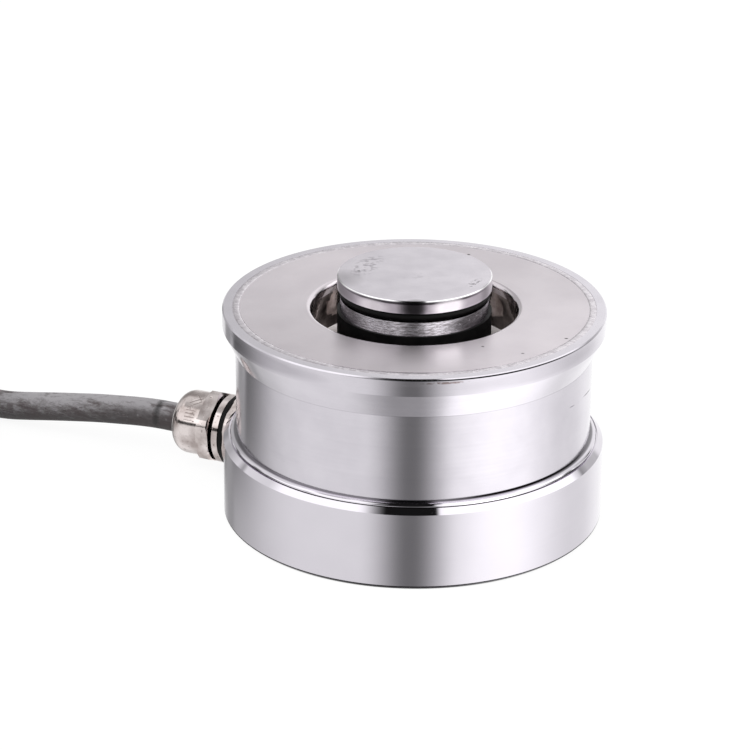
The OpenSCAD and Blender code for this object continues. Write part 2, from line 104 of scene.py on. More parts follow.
cameraData = bpy.data.cameras.new("camera")
cameraData.lens = view["lens"]
cameraData.sensor_width = 36
cameraData.shift_x, cameraData.shift_y = view["shift"]
cameraData.clip_start, cameraData.clip_end = 0.01, 20
camera = bpy.data.objects.new("camera", cameraData)
camera.matrix_world = (Matrix.Translation(view["place"])
    @ Matrix.Rotation(math.radians(view["tilt"]), 4, "X")
    @ Matrix.Rotation(math.radians(view["roll"]), 4, "Z"))
scene.collection.objects.link(camera)
scene.camera = camera
print("camera placed")


# the light that the metal sees: a white studio with a dark gap in front and cards around
studio = {
    "level": 0.97,
    "diffuseLevel": 0.85,
    # each card: its level and, along x, y and z of the direction, where it fades in and out;
    # a 9 leaves that side open, and a later card covers the earlier ones
    "cards": [
        # the wall behind the cell, brighter on the right
        (0.55, {"y": (0.55, 0.8, 9, 9), "z": (0, 0.15, 9, 9)}),
        (1.12, {"x": (-0.15, 0.12, 9, 9), "y": (0.5, 0.8, 9, 9)}),
        # the shade on the left; waist and rim look a little higher and see its dark middle
        (0.56, {"x": (-9, -9, -0.32, -0.12), "y": (-0.35, 0.8, 9, 9),
            "z": (-0.85, -0.6, -0.1, 0.15)}),
        (0.17, {"x": (-9, -9, -0.32, -0.12), "y": (0.05, 0.7, 9, 9),
            "z": (-0.43, -0.405, -0.1, 0.15)}),
        # lighter at the rim's left end, then a darker band near the left end of every wall
        (0.9, {"x": (-9, -9, -0.2, -0.1), "y": (0.66, 0.76, 9, 9), "z": (-0.4, -0.38, -0.1, 0.1)}),
        (0.38, {"x": (-0.62, -0.52, -0.42, -0.32), "y": (0.6, 0.7, 9, 9), "z": (-9, -9, 0, 0.1)}),
        # the key light on the right and its glow on the floor
        (1.5, {"x": (0.15, 0.75, 9, 9), "y": (-9, -9, -0.45, 0.35), "z": (-9, -9, 0, 0.2)}),
        (1.6, {"x": (0.1, 0.32, 9, 9), "y": (-9, -9, 0.3, 0.75), "z": (-9, -9, -0.85, -0.65)}),
        (1.6, {"x": (0.1, 0.25, 9, 9), "y": (-9, -9, 0.38, 0.48), "z": (0.1, 0.3, 9, 9)}),
        # the light from the upper left, with a dull spot in it
        (1.5, {"x": (-9, -9, -0.4, -0.25), "y": (-9, -9, 0.1, 0.25), "z": (0.2, 0.45, 9, 9)}),
        (0.7, {"x": (-0.62, -0.52, -0.3, -0.2), "y": (-0.15, -0.1, 0.2, 0.3),
            "z": (0.82, 0.86, 9, 9)}),
        # a dark low corner, front left, and the two bright strips that the button's flange shows
        (0.05, {"x": (-9, -9, -0.55, -0.45), "y": (-0.95, -0.85, -0.4, -0.3),
            "z": (0.08, 0.16, 0.24, 0.34)}),
        (3.2, {"x": (0.35, 0.5, 9, 9), "y": (-0.85, -0.75, -0.35, -0.2),
            "z": (0.27, 0.31, 0.46, 0.52)}),
        (1.5, {"x": (-9, -9, -0.6, -0.45), "y": (-0.75, -0.6, 0, 0.15),
            "z": (0.27, 0.31, 0.46, 0.52)}),
        # dim walls: one on the right, and two that the flange shows at its sides
        (0.66, {"x": (0.55, 0.7, 9, 9), "y": (0.5, 0.58, 9, 9), "z": (0.1, 0.2, 9, 9)}),
        (0.3, {"x": (-9, -9, -0.6, -0.4), "y": (0.1, 0.3, 0.5, 0.62),
            "z": (0.32, 0.35, 0.38, 0.42)}),
        (0.3, {"x": (0.6, 0.8, 9, 9), "y": (-0.1, 0.2, 0.5, 0.62),
            "z": (0.32, 0.35, 0.38, 0.42)}),
        # low dark walls that only the button's band shows
        (0.1, {"x": (-9, -9, -0.1, 0.1), "y": (-0.6, 0, 0.68, 0.78),
            "z": (-0.02, 0.05, 0.15, 0.22)}),
        (0.1, {"x": (-0.1, 0.1, 9, 9), "y": (-0.85, -0.2, 0.68, 0.78),
            "z": (-0.02, 0.05, 0.15, 0.22)}),
        # the gap in front, where the camera stands
        (0.19, {"x": (-0.5, -0.05, 0, 0.42), "y": (-9, -9, -0.1, 0), "z": (-0.85, -0.5, 0.2, 0.4)}),
        (0.4, {"x": (-0.42, -0.1, 0.02, 0.25), "z": (-9, -9, -0.9, -0.6)}),
        (0.01, {"x": (-0.36, -0.18, 0.16, 0.2), "y": (-9, -9, 0, 0.1), "z": (0.15, 0.3, 9, 9)}),
        (0.02, {"x": (-0.5, -0.3, 0.18, 0.3), "y": (-9, -9, -0.5, -0.3),
            "z": (0.2, 0.3, 0.45, 0.55)}),
    ],
    "lamps": [
        {"name": "softLeft", "at": (-0.55, -0.25, 0.75), "size": 0.6, "power": 3.0},
        {"name": "softRight", "at": (0.5, -0.35, 0.6), "size": 0.5, "power": 2.0},
    ],
}


def makeWorld():
    world = bpy.data.worlds.new("studio")
    scene.world = world
    world.use_nodes = True
    tree = world.node_tree
    tree.nodes.clear()
    way = addNode(tree, "TexCoord", out="Generated")
    level = addNode(tree, "Value")
    level.default_value = studio["level"]
    for value, spans in studio["cards"]:
        mask = 1.0
        for axis, (a, b, c, d) in spans.items():
            along = addNode(tree, "SeparateXYZ", {0: way}, out=axis.upper())
            for low, high, start in ((a, b, 0.0), (c, d, 1.0)):
                if abs(low) != 9:
                    edge = addNode(tree, "MapRange", {"Value": along, "From Min": low,
                        "From Max": high, "To Min": start, "To Max": 1 - start},
                        interpolation_type="SMOOTHSTEP")
                    mask = addNode(tree, "Math", {0: mask, 1: edge}, operation="MULTIPLY")
        level = addNode(tree, "Mix", {0: mask, 2: level, 3: value})
    # rubber and plastic see an even level, the camera plain white
    diffuse = addNode(tree, "LightPath", out="Is Diffuse Ray")
    level = addNode(tree, "Mix", {0: diffuse, 2: level, 3: studio["diffuseLevel"]})
    direct = addNode(tree, "LightPath", out="Is Camera Ray")
    level = addNode(tree, "Mix", {0: direct, 2: level, 3: 1.0})
    shader = addNode(tree, "Background", {"Color": level, "Strength": 1.0})
    addNode(tree, "OutputWorld", {"Surface": shader})


def makeLamps():
    for lamp in studio["lamps"]:
        data = bpy.data.lights.new(lamp["name"], "AREA")
        data.size = lamp["size"]
        data.energy = lamp["power"]
        piece = bpy.data.objects.new(lamp["name"], data)
        piece.location = lamp["at"]
        piece.rotation_euler = (-Vector(lamp["at"])).to_track_quat("-Z", "Y").to_euler()
        piece.visible_glossy = False  # the metal sees the cards alone
        scene.collection.objects.link(piece)


def makeFloor():
    bm = bmesh.new()
    bmesh.ops.create_grid(bm, x_segments=1, y_segments=1, size=3)
    mesh = bpy.data.meshes.new("floor")
    bm.to_mesh(mesh)
    bm.free()
    # white to the camera, with the faint shadow left on it; dim underneath the cable
    material, tree, _ = newMaterial("pale floor board, painted")
    matte = addNode(tree, "BsdfDiffuse", {"Color": linear("#585858")})
    direct = addNode(tree, "LightPath", out="Is Camera Ray")
    glow = addNode(tree, "Math", {0: direct, 1: 0.92}, operation="MULTIPLY")
    glow = addNode(tree, "Emission", {"Color": (1, 1, 1, 1), "Strength": glow})
    both = addNode(tree, "AddShader", {0: matte, 1: glow})
    addNode(tree, "OutputMaterial", {"Surface": both})
    mesh.materials.append(material)
    floor = bpy.data.objects.new("floor", mesh)
    scene.collection.objects.link(floor)
    floor.visible_glossy = False


makeWorld()
makeLamps()
makeFloor()
print("studio set")


def addMark(tree, point, mark):
    # a spot of wear, grime, painted shade or painted highlight: an ellipsoid around its place, even
    # or broken up by a grain
    own = addNode(tree, "Mapping", {"Vector": point, "Location": [c * mm for c in mark["at"]],
        "Rotation": [math.radians(a) for a in mark.get("turn", (0, 0, 0))],
        "Scale": [h * mm for h in mark["half"]]}, vector_type="TEXTURE")
    far = addNode(tree, "VectorMath", {0: own}, out="Value", operation="LENGTH")
    mask = addNode(tree, "MapRange", {"Value": far, "From Min": 1.0, "From Max": 0.5})
    share = mark["share"]
    grainFade = 0.12
    if "grain" in mark:
        grain = addNode(tree, "TexNoise", {"Vector": point, "Scale": mark["grain"], "Detail": 3.0})
        share = addNode(tree, "MapRange", {"Value": grain, "From Min": mark["from"],
            "From Max": mark["from"] + grainFade, "To Max": share})
    return addNode(tree, "Math", {0: mask, 1: share}, operation="MULTIPLY")


def makeTurnedSteel(name, finish):
    # stainless steel off the lathe: a streaky mirror, with rings only where the tool left them
    material, tree, point = newMaterial(name)
    height = addNode(tree, "SeparateXYZ", {0: point}, out="Z")
    flat = addNode(tree, "VectorMath", {0: point, 1: (1, 1, 0)}, operation="MULTIPLY")
    radius = addNode(tree, "VectorMath", {0: flat}, out="Value", operation="LENGTH")
    # runs along the turned outline, over walls and faces alike
    faceShare = -1.37
    along = addNode(tree, "Math", {0: radius, 1: faceShare, 2: height}, operation="MULTIPLY_ADD")
    drift = addNode(tree, "TexNoise", {"Vector": point, "Scale": 25.0, "Detail": 1.0})
    along = addNode(tree, "Math", {0: drift, 1: finish["wander"] * mm, 2: along},
        operation="MULTIPLY_ADD")
    along = addNode(tree, "Math", {0: along, 1: finish["pitch"] * mm}, operation="DIVIDE")
    rings = addNode(tree, "TexNoise", {"W": along, "Scale": 1.0, "Detail": 3.0, "Roughness": 0.65},
        noise_dimensions="1D")
    # the rings come and go around the part
    patch = addNode(tree, "TexNoise", {"Vector": point, "Scale": 45.0, "Detail": 2.0})
    patch = addNode(tree, "MapRange", {"Value": patch, "From Min": 0.4, "From Max": 0.65,
        "To Min": 0.3})
    rings = addNode(tree, "Mix", {0: patch, 2: 0.5, 3: rings})
    cloud = addNode(tree, "TexNoise", {"Vector": point, "Scale": finish["cloudScale"],
        "Detail": 4.0})
    cloudTone = addNode(tree, "MapRange", {"Value": cloud, "From Min": 0.35, "From Max": 0.65,
        "To Max": finish["cloudTone"]})
    tone = addNode(tree, "MapRange", {"Value": rings, "From Min": 0.3, "From Max": 0.7})
    tone = addNode(tree, "Math", {0: tone, 1: finish["ringTone"], 2: cloudTone},
        operation="MULTIPLY_ADD")
    color = addNode(tree, "Mix", {0: tone, 6: linear(finish["color"]), 7: linear(finish["dark"])},
        **asColor)
    rough = addNode(tree, "Math", {0: cloud, 1: finish["cloudRough"],
        2: finish["roughness"] - finish["cloudRough"] / 2}, operation="MULTIPLY_ADD")
    lift = addNode(tree, "Math", {0: rings, 1: finish["ringLift"]}, operation="MULTIPLY")
    lift = addNode(tree, "Math", {0: cloud, 1: finish["cloudLift"], 2: lift},
        operation="MULTIPLY_ADD")
    for axis, low, high, value in finish.get("polished", []):
        # a bevel, bead or lip with its own finish
        place = radius if axis == "r" else height
        inside = addNode(tree, "Math", {0: place, **between(low, high)}, operation="COMPARE")
        rough = addNode(tree, "Mix", {0: inside, 2: rough, 3: value})
    if "fillet" in finish:
        # the face rises from a radius on, as a slope
        start, slope = finish["fillet"]
        outside = addNode(tree, "Math", {0: radius, 1: -start * mm}, operation="ADD")
        outside = addNode(tree, "Math", {0: outside, 1: 0.0}, operation="MAXIMUM")
        lift = addNode(tree, "Math", {0: outside, 1: slope / mm, 2: lift}, operation="MULTIPLY_ADD")
    if "band" in finish:
        # coarse grooves across a narrow band
        band = finish["band"]
        inside = addNode(tree, "Math", {0: height, **between(*band["span"])}, operation="COMPARE")
        stretched = addNode(tree, "Mapping", {"Vector": point, "Scale": (1, 1, band["stretch"])})
        grooves = addNode(tree, "TexNoise", {"Vector": stretched, "Scale": band["scale"],
            "Detail": 3.0, "Roughness": 0.6})
        # every groove shows the flank that leans upwards
        flank = addNode(tree, "Math", {0: height, 1: band["slant"] / mm}, operation="MULTIPLY")
        flank = addNode(tree, "Math", {0: grooves, 1: band["lift"], 2: flank},
            operation="MULTIPLY_ADD")
        lift = addNode(tree, "Mix", {0: inside, 2: lift, 3: flank})
        rough = addNode(tree, "Mix", {0: inside, 2: rough, 3: band["roughness"]})
        grooveTone = addNode(tree, "MapRange", {"Value": grooves, "From Min": 0.6,
            "From Max": 0.35})
        grooveTone = addNode(tree, "Math", {0: inside, 1: grooveTone}, operation="MULTIPLY")
        color = addNode(tree, "Mix", {0: grooveTone, 6: color, 7: linear(band["dark"])}, **asColor)
    for edge in finish.get("edges", []):
        # a thin line along a turned edge: painted shade, or a painted highlight where it is white
        outside = addNode(tree, "Math", {0: radius, 1: edge["beyond"] * mm},
            operation="GREATER_THAN")
        level = addNode(tree, "Math", {0: height, **between(*edge["span"])}, operation="COMPARE")
        line = addNode(tree, "Math", {0: outside, 1: level}, operation="MULTIPLY")
        line = addNode(tree, "Math", {0: line, 1: edge["share"]}, operation="MULTIPLY")
        color = addNode(tree, "Mix", {0: line, 6: color, 7: linear(edge["color"])}, **asColor)
    for mark in finish.get("marks", []):
        spot = addMark(tree, point, mark)
        color = addNode(tree, "Mix", {0: spot, 6: color, 7: linear(mark["color"])}, **asColor)
        if "depth" in mark:
            lift = addNode(tree, "Math", {0: spot, 1: -mark["depth"], 2: lift},
                operation="MULTIPLY_ADD")
    bump = addNode(tree, "Bump", {"Height": lift, "Strength": 1.0, "Distance": mm})
    tangent = addNode(tree, "Tangent", direction_type="RADIAL", axis="Z")
    shader = addNode(tree, "BsdfPrincipled", {"Base Color": color, "Metallic": 1.0,
        "Roughness": rough, "Normal": bump, "Tangent": tangent,
        "Anisotropic": finish["anisotropic"], "Anisotropic Rotation": 0.25})
    addNode(tree, "OutputMaterial", {"Surface": shader})
    return material


# lengths in mm; lifts are the height of the relief, turned so that it only bends reflections
steelFinish = {
    # waist and rim: fine turned, a soft edged dark streak and a few ring lines in the light
    "waist": {"color": "#d9d5dc", "dark": "#c1bdc5", "roughness": 0.15, "pitch": 0.7, "wander": 0.1,
        "ringTone": 0.12, "ringLift": 0.0005, "cloudScale": 170.0, "cloudTone": 0.25,
        "cloudRough": 0.05, "cloudLift": 0.0008, "anisotropic": 0.2,
        "polished": [("z", 36.5, 41.6, 0.1)],
        # painted shade: a faint dark line along the crease where the cone meets the waist
        "edges": [{"beyond": 34.9, "span": (34.45, 34.62), "share": 0.2, "color": "#6d6970"}],
        "marks": [
            # painted shade: the rim darker than the cone under it, at the front left and the front
            # right
            {"at": (-30, -24, 41.3), "half": (18, 18, 1.9), "share": 0.4, "color": "#8a868e"},
            {"at": (24, -29, 41.3), "half": (22, 22, 1.9), "share": 0.35, "color": "#a5a1a8"},
            # painted shade: dark lines under the rim's edge and where the waist meets the base,
            # front right
            {"at": (14.6, -34.4, 42.82), "turn": (0, 0, 23), "half": (34, 24, 0.18),
                "share": 1.0, "color": "#141316"},
            {"at": (22.5, -26.8, 17.45), "turn": (0, 0, 40), "half": (26, 12, 0.3),
                "share": 1.0, "color": "#0e0d0f"},
            # two scratches on the right, and a rusty touch on the rim's bevel
            {"at": (33.63, -9.7, 28.95), "turn": (0, 6.7, 74), "half": (3.8, 1, 0.17),
                "grain": 900.0, "from": 0.2, "share": 1.0, "color": "#5f5a62", "depth": 0.006},
            {"at": (30.19, -17.71, 29.45), "turn": (0, 6, 60), "half": (1.3, 1, 0.14),
                "grain": 900.0, "from": 0.25, "share": 0.6, "color": "#6d6870", "depth": 0.004},
            {"at": (5.5, -37.2, 42.3), "turn": (0, 0, 8), "half": (5.5, 1.2, 0.3), "grain": 800.0,
                "from": 0.4, "share": 0.75, "color": "#7d6660"},
        ]},
    # base ring: ground wall, mirror polished bevel and bead that show the gap as a black spot
    "base": {"color": "#dad6dd", "dark": "#c7c3cb", "roughness": 0.14, "pitch": 0.8, "wander": 0.1,
        "ringTone": 0.08, "ringLift": 0.0003, "cloudScale": 90.0, "cloudTone": 0.2,
        "cloudRough": 0.03, "cloudLift": 0.0005, "anisotropic": 0.2,
        "polished": [("z", 15.4, 20, 0.045)],
        # the foot edge in shadow, and the joint under the waist
        "edges": [{"beyond": 37.0, "span": (-0.1, 0.72), "share": 0.95, "color": "#141317"}],
        "marks": [
            {"at": (0, 0, 17.4), "half": (200, 200, 0.17), "share": 0.75, "color": "#1f1e21"},
        ]},
    # top cover: ground flat, an even satin face that only hints at the button above it
    "cover": {"color": "#dcd5da", "dark": "#b9b2b8", "roughness": 0.3, "pitch": 0.9, "wander": 0.6,
        "ringTone": 0.05, "ringLift": 0.0002, "cloudScale": 110.0, "cloudTone": 0.22,
        "cloudRough": 0.06, "cloudLift": 0.002, "anisotropic": 0.8,
        "polished": [("r", 19.5, 21.0, 0.1)],
        "marks": [
            # small pits
            {"at": (28.7, -16.8, 43.1), "half": (0.45, 0.3, 0.5), "grain": 900.0,
                "from": 0.3, "share": 1.0, "color": "#2a2527", "depth": 0.01},
            {"at": (33.0, -10.1, 43.1), "turn": (0, 0, 30), "half": (0.5, 0.25, 0.5),
                "grain": 900.0, "from": 0.3, "share": 1.0, "color": "#2a2527", "depth": 0.01},
            {"at": (20.1, -24.4, 43.1), "half": (0.4, 0.3, 0.5), "grain": 900.0,
                "from": 0.3, "share": 0.8, "color": "#3a3537", "depth": 0.01},
            {"at": (12.7, -21.1, 43.1), "half": (0.35, 0.3, 0.5), "grain": 900.0,
                "from": 0.3, "share": 0.9, "color": "#2a2527", "depth": 0.01},
            {"at": (11.3, 28.4, 43.1), "half": (0.4, 0.4, 0.5), "grain": 900.0,
                "from": 0.3, "share": 0.9, "color": "#2a2527", "depth": 0.01},
        ]},
    # load button: lapped and slightly dented top, coarse band under the O-ring
    "button": {"color": "#dbd6dd", "dark": "#b6b1b9", "roughness": 0.13, "pitch": 0.5,
        "wander": 0.1, "ringTone": 0.1, "ringLift": 0.0004, "cloudScale": 160.0, "cloudTone": 0.35,
        "cloudRough": 0.05, "cloudLift": 0.003, "anisotropic": 0.0,
        "band": {"span": (42.3, 45.25), "stretch": 7.0, "scale": 800.0, "lift": 0.022,
            "slant": -0.28, "roughness": 0.24, "dark": "#857f82"},
        # painted highlight: a white line along the top edge of the flange
        "edges": [{"beyond": 14.9, "span": (49.5, 49.75), "share": 0.9, "color": "#ffffff"}],
        "marks": [
            # the flange's wall, darker all round; painted shade close under its edge at the front,
            # at its left end and in a dark streak at the front
            {"at": (0, 0, 48.3), "half": (200, 200, 1.4), "share": 0.38, "color": "#7b7878"},
            {"at": (0, -12, 49.24), "half": (20, 12, 0.38), "share": 0.9, "color": "#1f1c1e"},
            {"at": (-14, -3, 48.3), "half": (6, 7, 2.2), "share": 0.5, "color": "#4f4a4c"},
            {"at": (0, -15, 48.4), "half": (2.6, 2, 2), "share": 0.6, "color": "#1b1a1c"},
            # painted highlights beside the dark streak
            {"at": (6.6, -13.5, 48.1), "half": (4.6, 3.4, 1.8), "share": 0.62, "color": "#ffffff"},
            {"at": (-8.2, -12.6, 47.9), "half": (4.4, 3.8, 1.5), "share": 0.5, "color": "#ffffff"},
            # painted shade: the band darker towards its sides, broken up by a fine grain
            {"at": (-12.6, -7.2, 43.8), "half": (5, 5, 2.4), "grain": 1500.0,
                "from": 0.25, "share": 0.7, "color": "#4a4547"},
            {"at": (11.5, -9, 43.8), "half": (8, 8, 2.4), "grain": 1500.0,
                "from": 0.25, "share": 0.8, "color": "#3f3a3c"},
            # dents and scuffs on the top
            {"at": (-9.4, 4.0, 49.7), "turn": (0, 0, 71), "half": (7.5, 2.8, 1), "grain": 900.0,
                "from": 0.48, "share": 0.6, "color": "#8b858d", "depth": 0.02},
            {"at": (11.4, -5.0, 49.7), "turn": (0, 0, 61), "half": (3.2, 1.1, 1), "grain": 1500.0,
                "from": 0.5, "share": 0.8, "color": "#5b565d", "depth": 0.02},
            {"at": (-10.9, 1.2, 49.7), "half": (0.4, 0.35, 1), "grain": 900.0,
                "from": 0.3, "share": 1.0, "color": "#2f2b30", "depth": 0.02},
            {"at": (0.5, -1.5, 49.7), "turn": (0, 0, 20), "half": (4.5, 2.5, 1), "grain": 600.0,
                "from": 0.55, "share": 0.4, "color": "#a8a2a9", "depth": 0.01},
        ]},
    # spring body: milled; the fillet at the bottom of the gap turns the sky towards the eye
    "spring": {"color": "#e6e2e1", "dark": "#c5c0be", "roughness": 0.4, "pitch": 0.8, "wander": 0.2,
        "ringTone": 0.3, "ringLift": 0.002, "cloudScale": 300.0, "cloudTone": 0.3,
        "cloudRough": 0.1, "cloudLift": 0.004, "anisotropic": 0.0, "fillet": (17.2, 1.2)},
    # bore sleeve: drawn tube with a wavy, almost clear mirror that breaks up what it shows
    "bore": {"color": "#d5cbc9", "dark": "#5f5552", "roughness": 0.05, "pitch": 1.6, "wander": 3.0,
        "ringTone": 0.2, "ringLift": 0.002, "cloudScale": 260.0, "cloudTone": 0.8,
        "cloudRough": 0.04, "cloudLift": 0.07, "anisotropic": 0.0},
}
steel = {name: makeTurnedSteel(name + " steel, turned", finish)
    for name, finish in steelFinish.items()}


# the marks on the gland, from the body's axis in mm and around the gland's own axis in radians
brassMarks = {
    # each group of strokes: middle and half width around, start and end, slant per mm, spacing
    "strokes": [(0.62, 0.17, 46.8, 49.0, 0, 0.056), (1.1, 0.16, 46.4, 48.9, 0.11, 0.08),
        (1.42, 0.1, 46.6, 48.2, -0.16, 0.1)],
    "slantFrom": 48,
    "neck": (42.27, 42.89),
}


def makeBrass():
    # nickel plated brass, turned and milled: a warm pinkish mirror with small pits and, on the
    # dome, a few short strokes rolled into the plating
    material, tree, point = newMaterial("nickel plated brass, turned")
    cloud = addNode(tree, "TexNoise", {"Vector": point, "Scale": 260.0, "Detail": 4.0})
    color = addNode(tree, "ValToRGB", {0: cloud}, stops=[(0.36, linear("#a89d9a")),
        (0.62, linear("#e0d7d5"))])
    pits = addNode(tree, "TexNoise", {"Vector": point, "Scale": 1300.0, "Detail": 2.0})
    pits = addNode(tree, "MapRange", {"Value": pits, "From Min": 0.36, "From Max": 0.28})
    # distance along the gland and angle around it, both from its own axis
    own = addNode(tree, "Mapping", {"Vector": point, "Location": (0, 0, glandHeight * mm),
        "Rotation": (0, 0, math.radians(glandAzimuth))}, vector_type="TEXTURE")
    run = addNode(tree, "SeparateXYZ", {0: own}, out="X")
    across = addNode(tree, "SeparateXYZ", {0: own}, out="Y")
    up = addNode(tree, "SeparateXYZ", {0: own}, out="Z")
    around = addNode(tree, "Math", {0: up, 1: across}, operation="ARCTAN2")
    strokes = 0.0
    for middle, half, start, end, slant, step in brassMarks["strokes"]:
        tilted = addNode(tree, "Math", {0: run, 1: slant / mm, 2: around}, operation="MULTIPLY_ADD")
        tilted = addNode(tree, "Math", {0: tilted, 1: slant * -brassMarks["slantFrom"]},
            operation="ADD")
        window = addNode(tree, "Math", {0: tilted, 1: middle, 2: half}, operation="COMPARE")
        length = addNode(tree, "Math", {0: run, **between(start, end)}, operation="COMPARE")
        line = addNode(tree, "Math", {0: tilted, 1: step}, operation="PINGPONG")
        line = addNode(tree, "MapRange", {"Value": line, "From Min": step * 0.35,
            "From Max": step * 0.15})
        line = addNode(tree, "Math", {0: line, 1: window}, operation="MULTIPLY")
        strokes = addNode(tree, "Math", {0: line, 1: length, 2: strokes}, operation="MULTIPLY_ADD")
    dark = addNode(tree, "Math", {0: pits, 1: strokes}, operation="MAXIMUM")
    worn = addNode(tree, "Math", {0: dark, 1: 0.6}, operation="MULTIPLY")
    color = addNode(tree, "Mix", {0: worn, 6: color, 7: linear("#7c6f6b")}, **asColor)
    # the neck between cap and collar lies in oily shadow
    neck = addNode(tree, "Math", {0: run, **between(*brassMarks["neck"])}, operation="COMPARE")
    color = addNode(tree, "Mix", {0: neck, 6: color, 7: linear("#1d1716")}, **asColor)
    rough = addNode(tree, "Math", {0: cloud, 1: 0.12, 2: 0.05}, operation="MULTIPLY_ADD")
    lift = addNode(tree, "Math", {0: dark, 1: -0.03}, operation="MULTIPLY")
    lift = addNode(tree, "Math", {0: cloud, 1: 0.02, 2: lift}, operation="MULTIPLY_ADD")
    bump = addNode(tree, "Bump", {"Height": lift, "Strength": 1.0, "Distance": mm})
    shader = addNode(tree, "BsdfPrincipled", {"Base Color": color, "Metallic": 1.0,
        "Roughness": rough, "Normal": bump})
    addNode(tree, "OutputMaterial", {"Surface": shader})
    return material


def makeJacket():
    # grey PVC jacket, extruded: matt, with painted shade that darkens its underside, grime stains
    # that gather below and by the gland where hands held it, and one dark ring where it was gripped
    material, tree, point = newMaterial("grey PVC jacket, extruded")
    own = addNode(tree, "Mapping", {"Vector": point,
        "Rotation": (0, 0, math.radians(glandAzimuth)), "Scale": (3.0, 1, 1)},
        vector_type="TEXTURE")
    smudge = addNode(tree, "TexNoise", {"Vector": own, "Scale": 1100.0, "Detail": 6.0,
        "Roughness": 0.78, "Distortion": 0.15})
    # painted shade: the colour darkens as the surface faces downwards, over a random smudge; the
    # stains gather a little more underneath
    facing = addNode(tree, "NewGeometry", out="Normal")
    facing = addNode(tree, "SeparateXYZ", {0: facing}, out="Z")
    smudgeAndShade = addNode(tree, "Math", {0: facing, 1: 0.2, 2: smudge}, operation="MULTIPLY_ADD")
    color = addNode(tree, "ValToRGB", {0: smudgeAndShade}, stops=[(0.32, linear("#433e3f")),
        (0.46, linear("#605b5c")), (0.58, linear("#807d7f")), (0.68, linear("#979497"))])
    stain = addNode(tree, "TexNoise", {"Vector": own, "Scale": 260.0, "Detail": 6.0,
        "Roughness": 0.7})
    stain = addNode(tree, "Math", {0: facing, 1: -0.06, 2: stain}, operation="MULTIPLY_ADD")
    stain = addNode(tree, "MapRange", {"Value": stain, "From Min": 0.48, "From Max": 0.57,
        "To Max": 0.9})
    # most of it by the gland, on the lower half
    alongGland = (0, 0, glandAzimuth)
    held = addMark(tree, point, {"at": (-58, 28, 7), "turn": alongGland, "half": (62, 30, 30),
        "share": 0.8})
    nearGland = addNode(tree, "Math", {0: held, 1: 0.2}, operation="ADD")
    stain = addNode(tree, "Math", {0: stain, 1: nearGland}, operation="MULTIPLY")
    below = addNode(tree, "MapRange", {"Value": facing, "From Min": 0.8, "From Max": 0.25})
    held = addNode(tree, "Math", {0: held, 1: below}, operation="MULTIPLY")
    speck = addNode(tree, "TexNoise", {"Vector": own, "Scale": 1700.0, "Detail": 4.0})
    speck = addNode(tree, "MapRange", {"Value": speck, "From Min": 0.45, "From Max": 0.39})
    speck = addNode(tree, "Math", {0: speck, 1: held}, operation="MULTIPLY")
    stain = addNode(tree, "Math", {0: stain, 1: speck}, operation="MAXIMUM")
    # darker underneath, close to the gland, broken up by a grain
    dim = addMark(tree, point, {"at": (-53, 26, 8.4), "turn": alongGland, "half": (17, 9, 9),
        "grain": 700.0, "from": 0.28, "share": 0.75})
    dim = addNode(tree, "Math", {0: dim, 1: below}, operation="MULTIPLY")
    color = addNode(tree, "Mix", {0: dim, 6: color, 7: linear("#3f393a")}, **asColor)
    color = addNode(tree, "Mix", {0: stain, 6: color, 7: linear("#443b3c")}, **asColor)
    ring = addMark(tree, point, {"at": (-51.5, 25.1, 8.4), "turn": alongGland,
        "half": (1.25, 5, 5), "grain": 500.0, "from": 0.3, "share": 1.0})
    color = addNode(tree, "Mix", {0: ring, 6: color, 7: linear("#110e0f")}, **asColor)
    grain = addNode(tree, "TexNoise", {"Vector": point, "Scale": 2200.0, "Detail": 2.0})
    rough = addNode(tree, "Math", {0: smudge, 1: 0.3, 2: 0.38}, operation="MULTIPLY_ADD")
    lift = addNode(tree, "Math", {0: grain, 1: 0.3, 2: smudge}, operation="MULTIPLY_ADD")
    bump = addNode(tree, "Bump", {"Height": lift, "Strength": 0.5, "Distance": 0.05 * mm})
    shader = addNode(tree, "BsdfPrincipled", {"Base Color": color, "Roughness": rough,
        "Normal": bump})
    addNode(tree, "OutputMaterial", {"Surface": shader})
    return material


def makeMoulded(name, finish):
    # a moulded, drawn or cast surface: uneven tone, fine grain
    material, tree, point = newMaterial(name)
    cloud = addNode(tree, "TexNoise", {"Vector": point, "Scale": finish["scale"], "Detail": 3.0})
    color = addNode(tree, "ValToRGB", {0: cloud}, stops=[(0.35, linear(finish["color"])),
        (0.65, linear(finish["worn"]))])
    rough = addNode(tree, "Math", {0: cloud, 1: 0.12, 2: finish["roughness"] - 0.06},
        operation="MULTIPLY_ADD")
    grain = addNode(tree, "TexNoise", {"Vector": point, "Scale": finish["scale"] * 5,
        "Detail": 2.0})
    bump = addNode(tree, "Bump", {"Height": grain, "Strength": finish["bump"],
        "Distance": 0.05 * mm})
    shader = addNode(tree, "BsdfPrincipled", {"Base Color": color, "Metallic": finish["metallic"],
        "Roughness": rough, "Specular IOR Level": finish["shine"], "Normal": bump})
    addNode(tree, "OutputMaterial", {"Surface": shader})
    return material


